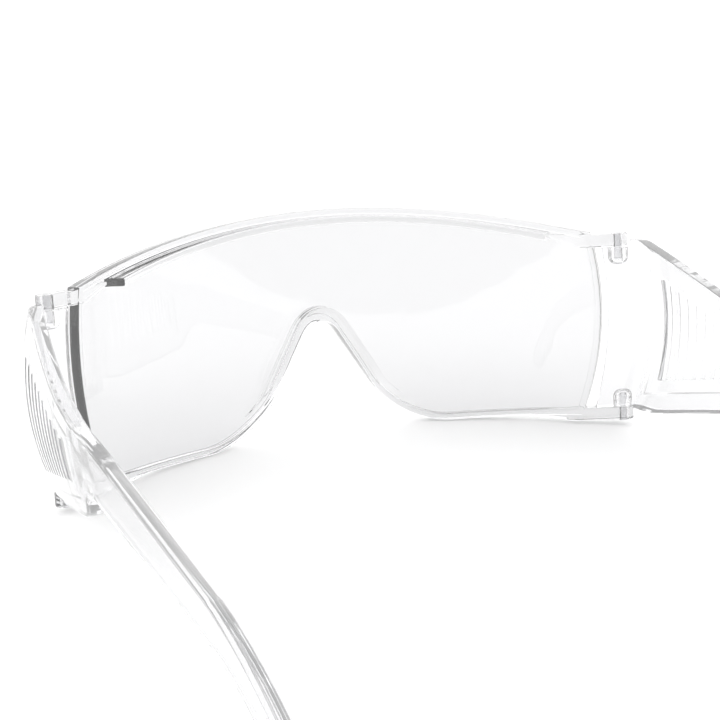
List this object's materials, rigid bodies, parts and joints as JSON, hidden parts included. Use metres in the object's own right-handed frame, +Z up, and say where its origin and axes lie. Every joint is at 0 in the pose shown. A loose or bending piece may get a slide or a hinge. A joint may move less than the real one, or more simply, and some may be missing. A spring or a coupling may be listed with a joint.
{
  "type": "safety glasses",
  "caption": "Clear wraparound safety glasses worn over spectacles: a one-piece curved lens with a nose notch, slotted side shields and hooked arms that fold in on pinned hinges.",
  "frame": {"origin": "on the table, in the middle of the opened glasses' footprint", "axes": "+Y the way the wearer looks, from the arm tips to the lens; +X to the wearer's right; +Z up from the table"},
  "size_m": [0.1582, 0.1832, 0.0551],
  "materials": {
    "clear_pc_front": "clear, polished",
    "clear_pc_arm": "clear, polished",
    "clear_pin": "clear, moulded"
  },
  "bodies": {
    "front": {"lens_front": "clear_pc_front", "pin_upper_left": "clear_pin", "pin_lower_left": "clear_pin", "pin_upper_right": "clear_pin", "pin_lower_right": "clear_pin"},
    "left_arm": {"temple_left": "clear_pc_arm"},
    "right_arm": {"temple_right": "clear_pc_arm"}
  },
  "joints": [
    {"name": "left_fold", "type": "hinge", "parent": "front", "child": "left_arm", "pos_m": [-0.07097, 0.0601, 0.03385], "axis": [0, 0.1392, 0.9903], "range_deg": [0, 89]},
    {"name": "right_fold", "type": "hinge", "parent": "front", "child": "right_arm", "pos_m": [0.07097, 0.0601, 0.03385], "axis": [0, -0.1392, -0.9903], "range_deg": [0, 70]}
  ]
}
